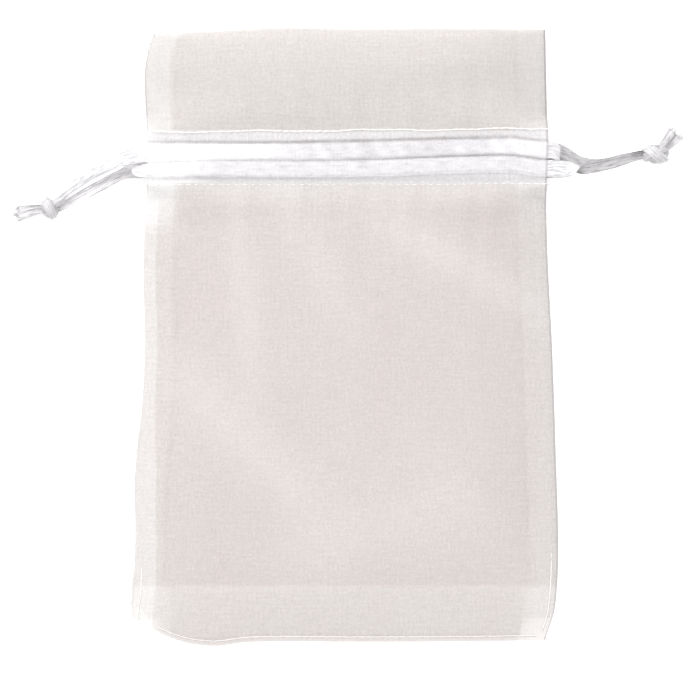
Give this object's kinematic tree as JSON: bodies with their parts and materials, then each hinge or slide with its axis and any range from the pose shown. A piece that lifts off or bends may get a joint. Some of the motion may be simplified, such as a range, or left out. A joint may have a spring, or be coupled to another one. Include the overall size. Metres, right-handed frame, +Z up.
{
  "type": "drawstring gift pouch",
  "caption": "Sheer organza gift pouch lying flat, with a double header and a ribbon casing; satin drawstring loops leave both side slits in knots and close the neck.",
  "frame": {"origin": "under the middle of the pouch, on the surface that it lies on; the ribbons and knots outside the pouch don't count", "axes": "+X across the pouch towards the right drawstring's knot, +Y along it towards the mouth, +Z up out of the front panel"},
  "size_m": [0.1665, 0.152, 0.0092],
  "materials": {
    "organza": "sheer woven organza, single cloth, with a soft sheen",
    "organza_folded": "sheer woven organza, two or more layers",
    "satin_ribbon": "single-face satin ribbon, glossy one side and dull on the other",
    "sewing_thread": "spun polyester sewing thread"
  },
  "bodies": {
    "pouch": {"back_panel": "organza", "front_panel": "organza", "back_header": "organza_folded", "front_header": "organza_folded", "back_casing": "organza_folded", "back_casing_facing": "organza_folded", "front_casing_facing": "organza_folded", "front_casing": "organza_folded", "back_upper_stitching": "sewing_thread", "front_upper_stitching": "sewing_thread", "back_lower_stitching": "sewing_thread", "front_lower_stitching": "sewing_thread", "left_header_allowance": "organza_folded", "right_header_allowance": "organza_folded", "left_body_allowance": "organza_folded", "right_body_allowance": "organza_folded", "bottom_allowance": "organza_folded", "left_header_seam_stitching": "sewing_thread", "right_header_seam_stitching": "sewing_thread", "left_body_seam_stitching": "sewing_thread", "right_body_seam_stitching": "sewing_thread", "bottom_seam_stitching": "sewing_thread"},
    "left_drawstring": {"left_ribbon": "satin_ribbon", "left_knot": "satin_ribbon", "left_lower_tail": "satin_ribbon", "left_upper_tail": "satin_ribbon"},
    "right_drawstring": {"right_ribbon": "satin_ribbon", "right_knot": "satin_ribbon", "right_lower_tail": "satin_ribbon", "right_upper_tail": "satin_ribbon"}
  },
  "joints": [
    {"name": "left_drawstring_pull", "type": "slide", "parent": "pouch", "child": "left_drawstring", "axis": [-1, 0, 0], "range_m": [0, 0.038], "deforming": ["front_casing", "front_casing_facing", "back_casing", "back_casing_facing"]},
    {"name": "right_drawstring_pull", "type": "slide", "parent": "pouch", "child": "right_drawstring", "axis": [1, 0, 0], "range_m": [0, 0.038], "deforming": ["front_casing", "front_casing_facing", "back_casing", "back_casing_facing"]}
  ]
}
